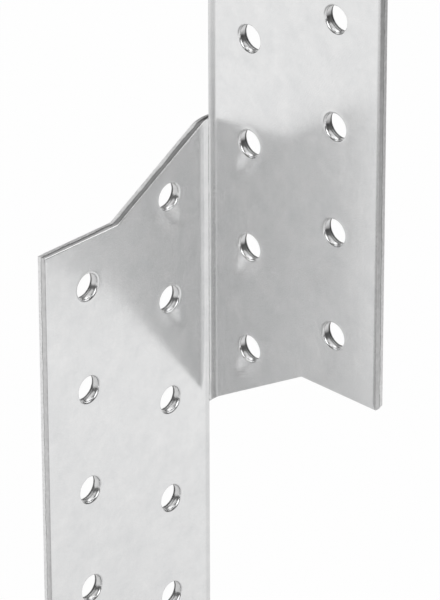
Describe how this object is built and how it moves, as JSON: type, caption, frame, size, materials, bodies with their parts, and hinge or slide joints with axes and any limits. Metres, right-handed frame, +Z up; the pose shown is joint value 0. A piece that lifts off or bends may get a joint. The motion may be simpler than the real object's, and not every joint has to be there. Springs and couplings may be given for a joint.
{
  "type": "hurricane tie",
  "caption": "Folded steel tie: a lower leg nailed to a purlin's side and an upper leg nailed to the side of the rafter that crosses it, with staggered nail holes in both.",
  "frame": {"origin": "on the purlin leg's outer face at mid height, where its flat meets the bend", "axes": "+Z up along the fold, +Y out of the purlin leg's outer face towards the purlin, +X out of the rafter leg's outer face towards the rafter"},
  "size_m": [0.0418, 0.0418, 0.21],
  "materials": {
    "galvanised_steel": "continuous hot-dip galvanised sheet, satin, finely mottled"
  },
  "bodies": {
    "root": {"tie": "galvanised_steel"}
  },
  "joints": []
}
